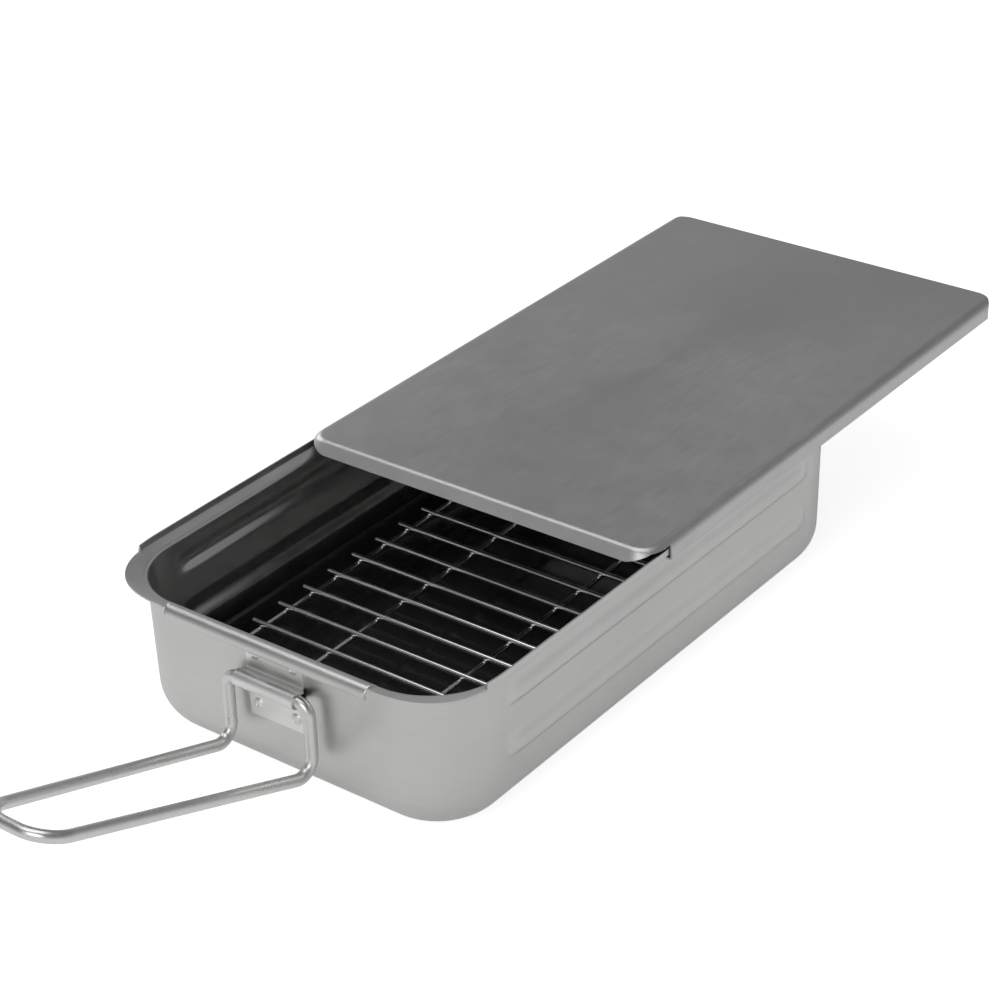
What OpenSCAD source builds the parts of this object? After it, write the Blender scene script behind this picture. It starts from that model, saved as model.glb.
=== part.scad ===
// Stovetop smoker box: a deep drawn pan, a lid that slides along the pan's rim, a wire rack that
// stands in a drip tray, and a folding wire handle at each end.
// The origin is the middle of the pan's underside. The lid slides open along +X, and Z is up.

/* [Pan] */
// Length of the pan's body at the rim
pan_l = 282; // [270:1:310]
// Width of the pan's body at the rim
pan_w = 167; // [160:1:180]
// Height of the rim above the underside
pan_h = 67; // [62:1:76]
// Corner radius of the body, seen from above
corner_r = 31.5; // [28:0.5:34]
// Radius between the walls and the bottom
bottom_r = 19.5; // [17:0.5:22]
// Thickness of the sheet that the pan and the lid are made of
sheet = 0.7; // [0.6:0.1:0.8]
// Slope of the walls in degrees
draft = 1; // [0.5:0.1:1.5]

/* [Side beads] */
// How far a bead stands out of the long wall
bead_h = 2.2; // [1:0.1:2.6]
// Depth of the upper bead's crest below the rim
bead_upper = 13.5; // [12:0.5:15]
// Depth of the lower bead's crest below the rim
bead_lower = 37; // [33:0.5:39]
// Length of a bead along the wall
bead_l = 212; // [180:2:212]

/* [Rim] */
// Width of the flange on the long sides
flange_side = 4.4; // [4:0.1:4.4]
// Width of the flange on the short sides
flange_end = 6.5; // [5:0.5:8]
// How much wider the flange is at the middle of a corner
flange_ear = 2.8; // [1:0.2:3]
// How far the flange rises from the wall to its edge
flange_rise = 1.7; // [1:0.1:1.8]
// Height of the turned up edge on the long sides, above the flange
edge_up = 2.4; // [1:0.1:2.5]
// Radius of the rolled down hem on the short sides
hem_r = 3.35; // [2.8:0.05:3.5]
// Length of the hem
hem_l = 100; // [90:1:102]

/* [Lid] */
// Length of the lid from its front fold to its far edge
lid_l = 281; // [275:1:290]
// Height of the lid's top above the pan's rim
lid_up = 7.5; // [7.4:0.1:8]
// How far the lid stands open
lid_open = 124; // [0:1:150]
// Radius of the lid's rolled long edges
roll_r = 4.5; // [4:0.1:4.6]
// Height of the rails that run along the pan's flange
rail_h = 8.6; // [8.6:0.1:9.2]
// Radius to which the lid's far corners are cut, seen from above
lid_corner_r = 10; // [8:0.5:12]
// Angle of the front lip below the lid's top
lip_angle = 57; // [45:1:60]
// Straight length of the front lip
lip_l = 4.2; // [3.8:0.1:4.4]

/* [Rack and tray] */
// Number of cross wires
cross_wires = 15; // [15]
// Distance between two cross wires
wire_pitch = 16; // [15:0.1:16.4]
// Diameter of a cross wire
wire_d = 2.3; // [2:0.1:2.6]
// Diameter of a runner
runner_d = 2.2; // [2:0.1:2.6]
// Length of a cross wire
wire_l = 136; // [134:1:140]
// Height of the cross wires' middle above the pan's underside
rack_z = 21; // [20:0.5:24]
// Length of the tray at its rim
tray_l = 262; // [256:1:264]
// Width of the tray at its rim
tray_w = 151; // [146:1:153]
// Height of the tray above its feet
tray_h = 19.5; // [16:0.5:20]
// Height of the feet that the tray stands on, with room for the wood chips below it
tray_foot_h = 2.6; // [2.4:0.1:3]

/* [Handles] */
// Diameter of the handle wire
handle_d = 5; // [4.6:0.1:5.2]
// Distance between the two legs of a handle
leg_gap = 41; // [39:0.5:43]
// Length of the legs from the hinge line to the loop
leg_l = 32; // [31:0.5:34]
// Reach of the loop from the legs to its tip
loop_l = 138; // [120:1:140]
// Width of the loop at its tip
loop_tip_w = 32; // [30:1:38]
// Angle at which the loop rises away from the pan
loop_rise = 20; // [18:1:22]
// Corner radius at the loop's tip
tip_r = 13; // [10:0.5:14]
// Depth of the hinge line below the rim
hinge_drop = 18; // [17.5:0.1:19]
// Distance of the hinge line from the wall
hinge_out = 5.5; // [5.2:0.1:6]

/* [Brackets] */
// Width of the strap
strap_w = 28; // [26:0.5:29]
// Length of the strap
strap_l = 32; // [30:0.5:33]
// Thickness of the strap
strap_t = 1; // [0.8:0.1:1.2]
// Distance between the rivets of a row
rivet_gap = 19; // [17:0.5:20]
// Diameter of a rivet's head
rivet_d = 5; // [4:0.1:5.4]

/* [Hidden] */

steel = "#b9babb";
lid_steel = "#8f9093";
strap_steel = "#cfd0cf";
wire_steel = "#d6d6d4";
tray_coat = "#2b2b2c";
fn_wire = 40;
fn_round = 64;

half_l = pan_l / 2;
half_w = pan_w / 2;
// The bead fades out over this length at each end
bead_fade = 11;
// A bead slopes gently above its crest and sharply below
bead_above = 9;
bead_below = 4.5;
bead_steps = [1, 0.66, 0.33, 0, -0.33, -0.66, -1];
// Radius of the bend between wall and flange, at the middle of the sheet
bend_r = 1.65;
// Radius of the bend where the edge turns up, at the middle of the sheet
edge_bend_r = 0.7;
// Height of the hem's top above the rim
hem_up = 1.6;
// The corner angle where the turned up edge ends, and the short length over which it does
edge_end = 20;
edge_step = 1.5;
// The short length over which the hem unrolls at its ends
hem_step = 1.5;

// A station is a place on the plan curve: [x, y, outward x, outward y, share of bead, rim, angle].
// The rim is 0 for a flat ear, 1 for a turned up edge and 2 for the rolled down hem. The angle is
// the one round the corner, 0 on the long side, but on the hem it is the one where the roll ends.
function bead_share(x) =
    abs(x) <= bead_l / 2 - bead_fade ? 1
    : abs(x) >= bead_l / 2 ? 0
    : sqrt(1 - pow((abs(x) - bead_l / 2 + bead_fade) / bead_fade, 2));
function corner_angles() =
    [0, 10, edge_end, edge_end + edge_step, 33, 45, 57, 69, 80, 90];
function side_x() =
    let (fades = [for (k = [0, 0.3, 0.6, 0.85, 1]) bead_l / 2 - bead_fade * k])
    concat([for (x = fades) -x], [for (k = [4:-1:0]) fades[k]]);
function hem_stations(side) =
    [for (end = [-1, 1]) for (k = [0:3])
        let (step = end < 0 ? k : 3 - k, y = end * (hem_l / 2 + hem_step / 2 - step * hem_step / 3))
        [side * half_l, side * y, side, 0, 0, step == 0 ? 0 : 2, [90, 60, 5, -50][step]]];

// One quarter turn about a corner, from the angle where the long side ends or begins
function corner_station(sx, sy, a) =
    [sx * (half_l - corner_r + corner_r * sin(a)),
     sy * (half_w - corner_r + corner_r * cos(a)),
     sx * sin(a), sy * cos(a), 0, a <= edge_end ? 1 : 0, a];
function pan_stations() = concat(
    [for (x = side_x()) [x, -half_w, 0, -1, bead_share(x), 1, 0]],
    [for (a = corner_angles()) corner_station(1, -1, a)],
    hem_stations(1),
    [for (k = [9:-1:0]) corner_station(1, 1, corner_angles()[k])],
    [for (x = side_x()) [-x, half_w, 0, 1, bead_share(x), 1, 0]],
    [for (a = corner_angles()) corner_station(-1, 1, a)],
    hem_stations(-1),
    [for (k = [9:-1:0]) corner_station(-1, -1, corner_angles()[k])]);

// The middle of the sheet, from the bottom up to the edge of the rim, as [outwards, up]
function wall_u(z) = -sheet / 2 - (pan_h - z) * tan(draft);
function bead_u(t) =
    let (reach = t > 0 ? bead_above : bead_below)
    bead_h * (0.5 + 0.5 * cos(180 * min(1, abs(t) / reach)));
function bead_path(crest, share) =
    [for (k = [len(bead_steps) - 1:-1:0])
        let (t = bead_steps[k] * (bead_steps[k] > 0 ? bead_above : bead_below),
             z = pan_h - crest + t)
        [wall_u(z) + share * bead_u(t), z]];
function bottom_path() =
    let (r = bottom_r - sheet / 2, u = wall_u(bottom_r))
    [for (a = [90:-15:15]) [u - r + r * cos(a), bottom_r - r * sin(a)]];
function flange_w(a) =
    flange_side + (flange_end - flange_side) * pow(sin(a), 2) + flange_ear * pow(sin(2 * a), 2);
function ear_path(w) =
    let (z0 = -sheet / 2, u0 = -sheet / 2 + bend_r)
    concat([[-sheet / 2, z0 - bend_r], [-sheet / 2 + bend_r * 0.29, z0 - bend_r * 0.29], [u0, z0]],
           [for (k = [1:6]) [u0 + (w - u0) * k / 6, z0 + flange_rise * k / 6]]);
function edge_path(w) =
    let (z0 = -sheet / 2, u0 = -sheet / 2 + bend_r, u1 = w - sheet / 2,
         slope = atan(flange_rise / (w - u0)), r = edge_bend_r,
         foot = [u1 - r + r * sin(slope), z0 + (u1 - r + r * sin(slope) - u0) * tan(slope)],
         middle = foot + r * [-sin(slope), cos(slope)], top = z0 + flange_rise + edge_up + sheet / 2)
    [[-sheet / 2, z0 - bend_r], [-sheet / 2 + bend_r * 0.29, z0 - bend_r * 0.29], [u0, z0],
     ([u0, z0] + foot) / 2, foot, middle + r * [cos(-30), sin(-30)], middle + [r, 0],
     [u1, (middle[1] + top) / 2], [u1, top]];
function hem_path(last) =
    let (r = hem_r - sheet / 2, cu = flange_end + sheet / 2 - hem_r, cz = hem_up - hem_r)
    concat([[-sheet / 2, -sheet / 2 - bend_r]],
           [for (k = [0:7]) let (a = 150 - (150 - last) * k / 7) [cu + r * cos(a), cz + r * sin(a)]]);
function rim_path(form, a) =
    [for (p = form == 2 ? hem_path(a) : form == 1 ? edge_path(flange_w(a)) : ear_path(flange_w(a)))
        [p[0], pan_h + p[1]]];
function pan_path(s) = concat(bottom_path(), bead_path(bead_lower, s[4]),
                              bead_path(bead_upper, s[4]), rim_path(s[5], s[6]));

// The two faces of a sheet of thickness t along a path, out along one and back along the other
function unit(v) = v / norm(v);
function along(path, k) =
    k == 0 ? [1, 0] : unit(path[min(k + 1, len(path) - 1)] - path[k - 1]);
function both_faces(path, t) = concat(
    [for (k = [0:len(path) - 1]) path[k] + [along(path, k)[1], -along(path, k)[0]] * t / 2],
    [for (k = [len(path) - 1:-1:0]) path[k] - [along(path, k)[1], -along(path, k)[0]] * t / 2]);

// A pressed shell: one sheet section at each station, closed by a flat bottom
module pressed_shell(stations, sections) {
    n = len(stations);
    m = len(sections[0]);
    points = [for (k = [0:n - 1]) for (p = sections[k])
        [stations[k][0] + stations[k][2] * p[0], stations[k][1] + stations[k][3] * p[0], p[1]]];
    skin = [for (k = [0:n - 1]) for (j = [0:m - 2])
        let (next = (k + 1) % n)
        [k * m + j, k * m + j + 1, next * m + j + 1, next * m + j]];
    underside = [[for (k = [0:n - 1]) k * m]];
    floor_top = [[for (k = [n - 1:-1:0]) k * m + m - 1]];
    polyhedron(points = points, faces = concat(skin, underside, floor_top));
}

// ---- Pan ----
module pan() {
    stations = pan_stations();
    color(steel) pressed_shell(stations, [for (s = stations) both_faces(pan_path(s), sheet)]);
}

// ---- Lid, drawn closed and slid open by its own travel ----
lid_w = pan_w + 2 * flange_side + 2.2;
lid_top = pan_h + lid_up;
lid_front = -half_l + 0.6;
// The fold of the front lip runs round the corners at this radius
fold_r = 7;
// The lip's bend is sharper in front than where it meets the rolled edge
lip_bend_r = 3;
corner_lip_angle = 50;
// The lip fades out over this angle of the corner and leaves this much of an edge
lip_fade = 55;
edge_rest = 0.3;
// A rail begins with a square cut end behind the corner, and its foot turns in by rail_lip
rail_start = fold_r + 4;
rail_lip = 3;
rail_bend_r = 0.6;
// The flat top and the bent edge meet this far inside the bend
seam = 0.5;

// The middle of the sheet, from the flat top outwards and down
function rolled(r, angle) = [r * sin(angle), r * (cos(angle) - 1) - sheet / 2];
// The bent edge at an angle round the corner: 0 in front, 90 at the long side
function lip_path(a) =
    let (share = min(1, a / lip_fade),
         r = lip_bend_r + (roll_r - lip_bend_r) * share - sheet / 2,
         bend = lip_angle + (corner_lip_angle - lip_angle) * share,
         straight = edge_rest + lip_l * (1 - share))
    concat([[-seam, -sheet / 2]], [for (k = [0:6]) rolled(r, bend * k / 6)],
           [rolled(r, bend) + [cos(bend), -sin(bend)] * straight]);
function rail_path() =
    let (r = roll_r - sheet / 2, foot = sheet / 2 - rail_h)
    concat(lip_path(90), [for (a = [66, 78, 90]) rolled(r, a)],
           [[r, foot + rail_bend_r], [r - 0.29 * rail_bend_r, foot + 0.29 * rail_bend_r],
            [r - rail_bend_r, foot], [roll_r - rail_lip, foot]]);

// A place on the lid's edge is [x, y, outward x, outward y, angle round the corner, form]. The form is
// 0 for the lip, 1 for a rail and 2 for a rail's far end, which the corner's round cut shortens.
function lip_station(side, a) =
    [fold_r - fold_r * cos(a), side * (lid_w / 2 - roll_r - fold_r + fold_r * sin(a)),
     -cos(a), side * sin(a), a, 0];
function rail_station(side, form) = [rail_start, side * (lid_w / 2 - roll_r), 0, side, 90, form];
function lid_stations() = concat(
    [rail_station(1, 2), rail_station(1, 1)],
    [for (a = [90:-10:0]) lip_station(1, a)],
    [for (a = [0:10:90]) lip_station(-1, a)],
    [rail_station(-1, 1), rail_station(-1, 2)]);
function far_cut(y) =
    let (over = max(0, abs(y) - lid_w / 2 + lid_corner_r))
    lid_l - lid_corner_r + sqrt(pow(lid_corner_r, 2) - pow(over, 2));
function lid_point(s, p) =
    let (y = s[1] + s[3] * p[0])
    [s[5] == 2 ? far_cut(y) : s[0] + s[2] * p[0], y, p[1]];

module lid() {
    stations = lid_stations();
    n = len(stations);
    m = len(rail_path());
    lips = len(lip_path(0));
    // Each place has m points below and m above. A lip uses only the first few of them.
    sections = [for (s = stations) both_faces(s[5] == 0 ? lip_path(s[4]) : rail_path(), sheet)];
    edge = [for (k = [0:n - 1]) let (c = len(sections[k]) / 2) for (i = [0:2 * m - 1])
        let (j = min(i < m ? i : 2 * m - 1 - i, c - 1))
        lid_point(stations[k], sections[k][i < m ? j : 2 * c - 1 - j])];
    low = [for (k = [0:n - 1]) [for (j = [0:m - 1]) 2 * m * k + j]];
    top = [for (k = [0:n - 1]) [for (j = [0:m - 1]) 2 * m * (k + 1) - 1 - j]];
    // The far edge from one rail to the other, with its round corners
    far_y = lid_w / 2 - lid_corner_r;
    far_turn = asin((lid_w / 2 - roll_r - seam - far_y) / lid_corner_r);
    far_plan = [for (side = [-1, 1]) for (k = side < 0 ? [2, 1, 0] : [0, 1, 2])
        let (y = far_y + lid_corner_r * sin(far_turn * k / 3)) [far_cut(y), side * y]];
    far = len(far_plan);
    far_low = [for (k = [0:far - 1]) 2 * m * n + k];
    far_top = [for (k = [0:far - 1]) 2 * m * n + far + k];
    far_points = concat([for (p = far_plan) [p[0], p[1], -sheet]], [for (p = far_plan) [p[0], p[1], 0]]);
    bent = [for (k = [0:n - 2])
        let (c = stations[k][5] == 0 || stations[k + 1][5] == 0 ? lips : m)
        each concat(
            [for (j = [0:c - 2]) [low[k][j], low[k][j + 1], low[k + 1][j + 1], low[k + 1][j]]],
            [for (j = [0:c - 2]) [top[k][j + 1], top[k][j], top[k + 1][j], top[k + 1][j + 1]]],
            [[low[k][c - 1], top[k][c - 1], top[k + 1][c - 1], low[k + 1][c - 1]]])];
    // The cut ends of the rails: behind the front corners, and at the far corners
    cut_ends = [for (end = [[1, lips - 1], [n - 1, 0]]) for (j = [end[1]:m - 2])
        [low[end[0]][j], low[end[0]][j + 1], top[end[0]][j + 1], top[end[0]][j]]];
    other_ends = [for (end = [[n - 2, lips - 1], [0, 0]]) for (j = [end[1]:m - 2])
        [top[end[0]][j], top[end[0]][j + 1], low[end[0]][j + 1], low[end[0]][j]]];
    rim_low = concat([low[n - 1][0]], far_low, [low[0][0]]);
    rim_top = concat([top[n - 1][0]], far_top, [top[0][0]]);
    far_edge = [for (k = [0:far]) [rim_low[k], rim_top[k], rim_top[k + 1], rim_low[k + 1]]];
    flat = [concat(far_low, [for (k = [0:n - 1]) low[k][0]]),
            concat([for (k = [far - 1:-1:0]) far_top[k]], [for (k = [n - 1:-1:0]) top[k][0]])];
    color(lid_steel) translate([lid_front + lid_open, 0, lid_top]) polyhedron(
        points = concat(edge, far_points), faces = concat(bent, cut_ends, other_ends, far_edge, flat));
}

// ---- Drip tray ----
tray_gap = 0.05;
tray_sheet = 0.6;
tray_corner_r = 27;
tray_bottom_r = 15;
tray_slope = 5;
tray_rim = 2.2;
tray_z = sheet + tray_gap + tray_foot_h;
tray_foot_x = 90;
tray_foot_y = 36;
tray_foot_d = 9;
tray_foot_low_d = 6;

function tray_path() =
    let (r = tray_bottom_r - tray_sheet / 2,
         lean = (tray_h - tray_bottom_r) * tan(tray_slope),
         top = tray_z + tray_h)
    concat([for (a = [90:-15:tray_slope + 1])
               [-lean - r - tray_rim + r * cos(a), tray_z + tray_bottom_r - r * sin(a)]],
           [[-tray_rim, top - tray_sheet / 2 - 0.8], [-tray_rim + 0.35, top - tray_sheet / 2],
            [-0.4, top - tray_sheet / 2], [0, top - tray_sheet / 2 - 1]]);
function tray_corner(sx, sy, a) =
    [sx * (tray_l / 2 - tray_corner_r + tray_corner_r * sin(a)),
     sy * (tray_w / 2 - tray_corner_r + tray_corner_r * cos(a)), sx * sin(a), sy * cos(a)];
function tray_stations() = concat(
    [for (k = [0:6]) tray_corner(1, -1, 15 * k)],
    [for (k = [6:-1:0]) tray_corner(1, 1, 15 * k)],
    [for (k = [0:6]) tray_corner(-1, 1, 15 * k)],
    [for (k = [6:-1:0]) tray_corner(-1, -1, 15 * k)]);

module drip_tray() {
    stations = tray_stations();
    color(tray_coat) {
        pressed_shell(stations, [for (s = stations) both_faces(tray_path(), tray_sheet)]);
        for (x = [-tray_foot_x, tray_foot_x]) for (y = [-tray_foot_y, tray_foot_y])
            translate([x, y, sheet + tray_gap])
                cylinder(d1 = tray_foot_low_d, d2 = tray_foot_d, h = tray_foot_h + tray_sheet / 2,
                         $fn = fn_wire);
    }
}

// ---- Rack ----
runner_y = [-64, -28, 28, 64];
runner_overhang = 4;
runner_l = (cross_wires - 1) * wire_pitch + 2 * runner_overhang;
// Where two wires cross they are welded, so they sink into each other by this much
weld = 0.1;
runner_z = rack_z - (wire_d + runner_d) / 2 + weld;
foot_d = 2.6;
foot_x = 96;
foot_y = 52;
foot_bend_r = 6;
foot_z = runner_z - (runner_d + foot_d) / 2 + weld;
tray_floor = tray_z + tray_sheet;

module rack_wire(index) {
    color(wire_steel) translate([(index - (cross_wires + 1) / 2) * wire_pitch, 0, rack_z]) {
        rotate([90, 0, 0]) cylinder(d = wire_d, h = wire_l, center = true, $fn = fn_wire);
        for (side = [-1, 1]) translate([0, side * wire_l / 2, 0]) sphere(d = wire_d, $fn = fn_wire);
    }
}

module rack_runner(index) {
    color(wire_steel) translate([0, runner_y[index - 1], runner_z])
        rotate([0, 90, 0]) cylinder(d = runner_d, h = runner_l, center = true, $fn = fn_wire);
}

// A foot wire lies across under the runners and bends down to the tray at both ends
module rack_leg(x) {
    drop = foot_z - foot_bend_r - tray_floor - foot_d / 2 - tray_gap;
    color(wire_steel) translate([x, 0, foot_z]) {
        rotate([90, 0, 0])
            cylinder(d = foot_d, h = 2 * (foot_y - foot_bend_r), center = true, $fn = fn_wire);
        for (side = [-1, 1]) scale([1, side, 1]) translate([0, foot_y - foot_bend_r, -foot_bend_r]) {
            rotate([0, -90, 0]) rotate_extrude(angle = 90, $fn = fn_round)
                translate([foot_bend_r, 0]) circle(d = foot_d, $fn = fn_wire);
            translate([0, foot_bend_r, -drop]) cylinder(d = foot_d, h = drop, $fn = fn_wire);
            translate([0, foot_bend_r, -drop]) sphere(d = foot_d, $fn = fn_wire);
        }
    }
}

// ---- Handles: one bent wire, drawn at the origin of its hinge line with the legs down ----
hinge_z = pan_h - hinge_drop;
hinge_x = half_l - hinge_drop * tan(draft) + hinge_out;
leg_bend_r = 5.5;
root_bend_r = 7;

// The bent loop is joined inside the straight legs: it is thinner by this share, starts above their
// ends by loop_sink, and the legs reach past the start of its bend by leg_past
loop_sides = 20;
loop_share = 0.99;
loop_sink = 0.5;
leg_past = 0.4;

module wire_bend(r, angle) {
    rotate_extrude(angle = angle, $fn = fn_round) translate([r, 0]) circle(d = handle_d, $fn = fn_wire);
}

// A tube through rings, each a place with two directions across the tube
module tube(rings, sides) {
    n = len(rings);
    points = [for (ring = rings) for (k = [0:sides - 1])
        let (a = 360 * k / sides)
        ring[0] + loop_share * handle_d / 2 * (ring[1] * cos(a) + ring[2] * sin(a))];
    skin = [for (k = [0:n - 2]) for (j = [0:sides - 1])
        let (up = (j + 1) % sides)
        [k * sides + j, k * sides + up, (k + 1) * sides + up, (k + 1) * sides + j]];
    ends = [[for (j = [sides - 1:-1:0]) j], [for (j = [0:sides - 1]) (n - 1) * sides + j]];
    polyhedron(points = points, faces = concat(skin, ends));
}

// The loop begins and ends with a bend at the foot of a leg. Its sides lean in towards the tip.
root_turn = 90 + loop_rise;
root_reach = root_bend_r * tan(root_turn / 2);
loop_out = [-cos(loop_rise), 0, sin(loop_rise)];
loop_face = [-sin(loop_rise), 0, -cos(loop_rise)];
side_lean = atan((leg_gap - loop_tip_w) / 2 / (loop_l - tip_r - root_reach));

function root_ring(side, a) =
    [[root_bend_r * (cos(a) - 1), side * leg_gap / 2, root_reach - leg_l - root_bend_r * sin(a)],
     [cos(a), 0, -sin(a)], [0, side, 0]];
function tip_ring(side, a) =
    let (across = [0, cos(a), 0] + loop_out * sin(a))
    [[0, side * (loop_tip_w / 2 - tip_r), -leg_l] + loop_out * (loop_l - tip_r) + across * tip_r,
     loop_face, across];
function sunk_ring(side) = [root_ring(side, 0)[0] + [0, 0, loop_sink], [1, 0, 0], [0, side, 0]];
function loop_rings() = concat(
    [sunk_ring(1)],
    [for (k = [0:8]) root_ring(1, root_turn * k / 8)],
    [for (k = [0:7]) tip_ring(1, side_lean + (90 - side_lean) * k / 7)],
    [for (k = [0:7]) tip_ring(-1, 90 + (90 - side_lean) * k / 7)],
    [for (k = [8:-1:0]) root_ring(-1, root_turn * k / 8)],
    [sunk_ring(-1)]);

module handle() {
    half = leg_gap / 2;
    leg = leg_l - root_reach - leg_bend_r + leg_past;
    rotate([90, 0, 0])
        cylinder(d = handle_d, h = 2 * (half - leg_bend_r), center = true, $fn = fn_wire);
    for (side = [-1, 1]) scale([1, side, 1]) {
        translate([0, half - leg_bend_r, -leg_bend_r]) rotate([0, -90, 0]) wire_bend(leg_bend_r, 90);
        translate([0, half, root_reach - leg_l - leg_past])
            cylinder(d = handle_d, h = leg, $fn = fn_wire);
    }
    tube(loop_rings(), loop_sides);
}

module front_handle() {
    color(steel) translate([-hinge_x, 0, hinge_z]) handle();
}

module rear_handle() {
    color(steel) translate([hinge_x, 0, hinge_z]) rotate([0, 0, 180]) handle();
}

// ---- Brackets: a strap riveted to the wall, with a knuckle round the handle's cross wire ----
knuckle_w = 30;
knuckle_t = 0.9;
pin_play = 0.06;
strap_top = 4.6;
shank_d = 3.2;
rivet_rows = [8, 30.8];

// Puts children on the outside of an end wall: X out of the wall, Z up the wall, zero at the rim
module on_wall(side) {
    rotate([0, 0, side > 0 ? 0 : 180]) translate([half_l, 0, pan_h]) rotate([0, draft, 0]) children();
}

module rivet_places() {
    for (row = rivet_rows) for (side = [-1, 1])
        translate([0, side * rivet_gap / 2, -row]) rotate([0, 90, 0]) children();
}

module bracket(side) {
    bore_r = handle_d / 2 + pin_play;
    // The hinge line, seen from the tilted wall
    dx = hinge_x - half_l;
    out = dx * cos(draft) + hinge_drop * sin(draft);
    down = hinge_drop * cos(draft) - dx * sin(draft);
    color(strap_steel) on_wall(side) difference() {
        union() {
            translate([0, -strap_w / 2, -strap_top - strap_l]) cube([strap_t, strap_w, strap_l]);
            translate([0, -knuckle_w / 2, -down - 2.4]) cube([out, knuckle_w, 4.8]);
            translate([out, 0, -down]) rotate([90, 0, 0])
                cylinder(r = bore_r + knuckle_t, h = knuckle_w, center = true, $fn = fn_round);
        }
        translate([out, 0, -down]) rotate([90, 0, 0])
            cylinder(r = bore_r, h = knuckle_w + 2, center = true, $fn = fn_round);
        rivet_places() cylinder(h = 6, d = shank_d, center = true, $fn = fn_wire);
    }
}

// A rivet has a low dome outside, a shank through strap and wall, and a flat head inside
module rivets(side) {
    dome_h = 1.1;
    dome_r = (rivet_d * rivet_d / 4 + dome_h * dome_h) / (2 * dome_h);
    inside_h = 0.6;
    color(strap_steel) on_wall(side) rivet_places() {
        intersection() {
            translate([0, 0, strap_t + dome_h - dome_r]) sphere(r = dome_r, $fn = fn_round);
            translate([0, 0, strap_t]) cylinder(d = rivet_d + 1, h = dome_h + 1, $fn = fn_wire);
        }
        translate([0, 0, -sheet - inside_h]) cylinder(d = rivet_d, h = inside_h, $fn = fn_wire);
        translate([0, 0, -sheet - 0.1]) cylinder(d = shank_d, h = sheet + strap_t + 0.2, $fn = fn_wire);
    }
}

pan();
lid();
drip_tray();
for (k = [1:4]) rack_runner(k);
for (k = [1:9]) rack_wire(k);
for (k = [10:15]) rack_wire(k);
rack_leg(-foot_x);  // rack_front_leg
rack_leg(foot_x);  // rack_rear_leg
front_handle();
rear_handle();
bracket(-1);  // front_bracket
bracket(1);  // rear_bracket
rivets(-1);  // front_rivets
rivets(1);  // rear_rivets
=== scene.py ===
import math
import bpy
from mathutils import Matrix, Vector


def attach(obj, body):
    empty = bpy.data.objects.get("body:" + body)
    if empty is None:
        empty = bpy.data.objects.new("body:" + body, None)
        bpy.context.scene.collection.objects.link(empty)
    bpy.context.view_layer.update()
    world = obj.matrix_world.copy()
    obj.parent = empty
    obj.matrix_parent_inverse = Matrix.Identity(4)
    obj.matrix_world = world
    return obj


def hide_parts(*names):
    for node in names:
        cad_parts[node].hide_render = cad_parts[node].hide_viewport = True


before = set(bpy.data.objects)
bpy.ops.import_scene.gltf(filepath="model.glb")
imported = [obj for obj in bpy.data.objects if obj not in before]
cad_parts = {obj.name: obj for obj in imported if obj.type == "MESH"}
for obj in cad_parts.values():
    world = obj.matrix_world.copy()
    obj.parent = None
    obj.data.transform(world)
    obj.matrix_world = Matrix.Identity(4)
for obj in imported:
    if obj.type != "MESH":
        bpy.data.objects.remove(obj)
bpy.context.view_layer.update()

# ---- Pan ----
# The pan is one deep drawn sheet of satin stainless steel, 0.7 mm thick. Two beads are pressed into
# each long wall, the long edges are turned up, the corners are flat ears and a hem is rolled down in
# the middle of each short side.
mm = 0.001
sheet = 0.7
pan_half_l, pan_half_w, pan_h = 141, 83.5, 67
pan_corner_r, pan_bottom_r, wall_draft = 31.5, 19.5, math.radians(1)
bead_h, bead_above, bead_below, bead_l, bead_fade = 2.2, 9, 4.5, 212, 11
bead_depths = [37, 13.5]
flange_side, flange_end, flange_ear, flange_rise = 4.4, 6.5, 2.8, 1.7
bend_r, edge_bend_r, edge_up = 1.65, 0.7, 2.4
edge_end, edge_step = 20, 1.5
hem_r, hem_up, hem_l, hem_step = 3.35, 1.6, 100, 1.5
hem_turns = [90, 60, 5, -50]
bead_steps, corner_step, hem_start, floor_margin = 14, 3, 150, 3
side_end = pan_half_l - pan_corner_r - 1


def arc(centre, r, first, last, steps):
    """Points on an arc from one angle to another, in degrees."""
    turns = [math.radians(first + (last - first) * k / steps) for k in range(steps + 1)]
    return [(centre[0] + r * math.cos(t), centre[1] + r * math.sin(t)) for t in turns]


def both_faces(path, t):
    """The lower and the upper face of a sheet of thickness t whose middle follows the path."""
    low, up = [], []
    for k, p in enumerate(path):
        a, b = path[max(k - 1, 0)], path[min(k + 1, len(path) - 1)]
        length = math.hypot(b[0] - a[0], b[1] - a[1])
        side = ((b[1] - a[1]) / length * t / 2, -(b[0] - a[0]) / length * t / 2)
        low.append((p[0] + side[0], p[1] + side[1]))
        up.append((p[0] - side[0], p[1] - side[1]))
    return low, up


def sheet_piece(name, points, faces, sharp=32):
    """A mesh in metres from points in millimetres, smooth except where it turns sharply."""
    mesh = bpy.data.meshes.new(name)
    mesh.from_pydata([[c * mm for c in p] for p in points], [], faces)
    mesh.validate()
    mesh.shade_smooth()
    mesh.set_sharp_from_angle(angle=math.radians(sharp))
    piece = bpy.data.objects.new(name, mesh)
    bpy.context.scene.collection.objects.link(piece)
    return piece


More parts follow.
